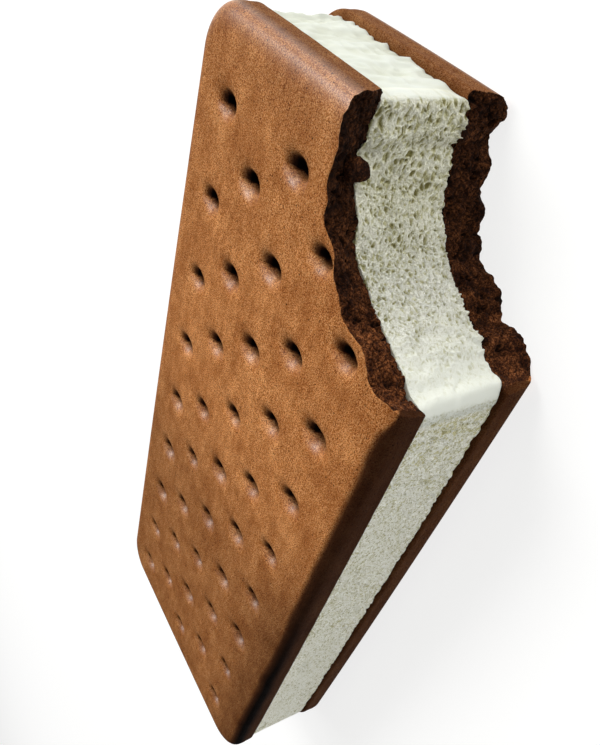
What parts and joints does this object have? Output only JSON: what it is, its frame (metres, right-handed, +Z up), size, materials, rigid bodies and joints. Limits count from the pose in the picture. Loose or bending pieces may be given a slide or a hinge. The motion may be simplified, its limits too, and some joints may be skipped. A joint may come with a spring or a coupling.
{
  "type": "ice cream sandwich",
  "caption": "Rectangular ice cream sandwich lying flat: vanilla ice cream between soft chocolate wafers with docker holes, one corner bitten off.",
  "frame": {"origin": "middle of the underside, on the surface the sandwich lies on", "axes": "+X along the length towards the bitten end, +Y across the width away from the bitten corner, +Z up through the layers"},
  "size_m": [0.1206, 0.0528, 0.0216],
  "materials": {
    "chocolate_wafer": "soft baked chocolate wafer, matte with a faint sheen on its rounded edges, dark crumb inside",
    "vanilla_ice_cream": "pale vanilla ice cream, slightly glossy, finely porous where it was bitten"
  },
  "bodies": {
    "root": {"bottom_wafer": "chocolate_wafer", "ice_cream": "vanilla_ice_cream", "top_wafer": "chocolate_wafer"}
  },
  "joints": []
}
